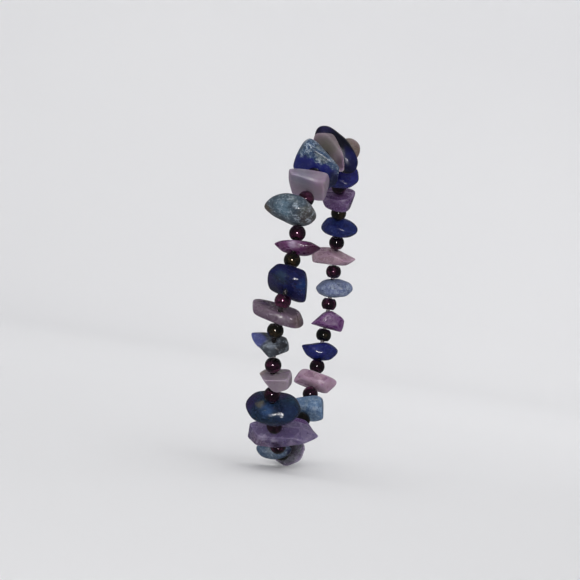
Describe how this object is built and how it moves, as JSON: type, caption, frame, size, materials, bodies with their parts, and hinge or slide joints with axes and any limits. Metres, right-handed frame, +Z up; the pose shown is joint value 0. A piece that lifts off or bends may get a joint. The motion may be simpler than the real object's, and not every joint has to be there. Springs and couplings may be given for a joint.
{
  "type": "beaded stretch bracelet",
  "caption": "Stretch bracelet of drilled amethyst and lapis lazuli chips with round glass spacer beads on elastic thread, held in the oval it takes when worn.",
  "frame": {"origin": "the middle of the loop, where the wrist that wears the bracelet passes through", "axes": "+X through the loop, across the band; +Y towards the far side and -Y towards the near side, the one that shows; +Z up, the longer way of the oval"},
  "size_m": [0.0142, 0.0501, 0.0635],
  "materials": {
    "amethyst": "tumble-polished violet quartz, cloudy, part see-through",
    "pale_amethyst": "tumble-polished pale grey-lilac quartz, cloudy",
    "lapis": "polished deep ultramarine with grey-green patches and pyrite specks",
    "denim_lapis": "polished pale blue-grey, speckled with deep blue and white",
    "purple_glass": "dark purple glass with an iris sheen, opaque, glossy",
    "bronze_glass": "dark green-bronze glass with an iris sheen, opaque, glossy",
    "elastic": "clear elastic thread, a little cloudy"
  },
  "bodies": {
    "root": {"pale_amethyst_chip_01": "pale_amethyst", "lapis_chip_02": "lapis", "pale_amethyst_chip_03": "pale_amethyst", "denim_lapis_chip_04": "denim_lapis", "pale_amethyst_chip_05": "pale_amethyst", "denim_lapis_chip_06": "denim_lapis", "amethyst_chip_07": "amethyst", "lapis_chip_08": "lapis", "pale_amethyst_chip_09": "pale_amethyst", "denim_lapis_chip_10": "denim_lapis", "pale_amethyst_chip_11": "pale_amethyst", "lapis_chip_12": "lapis", "amethyst_chip_13": "amethyst", "denim_lapis_chip_14": "denim_lapis", "pale_amethyst_chip_15": "pale_amethyst", "lapis_chip_16": "lapis", "amethyst_chip_17": "amethyst", "denim_lapis_chip_18": "denim_lapis", "pale_amethyst_chip_19": "pale_amethyst", "lapis_chip_20": "lapis", "amethyst_chip_21": "amethyst", "denim_lapis_chip_22": "denim_lapis", "pale_amethyst_chip_23": "pale_amethyst", "lapis_chip_24": "lapis", "amethyst_chip_25": "amethyst", "lapis_chip_26": "lapis", "purple_spacers": "purple_glass", "bronze_spacers": "bronze_glass", "elastic_thread": "elastic"}
  },
  "joints": []
}
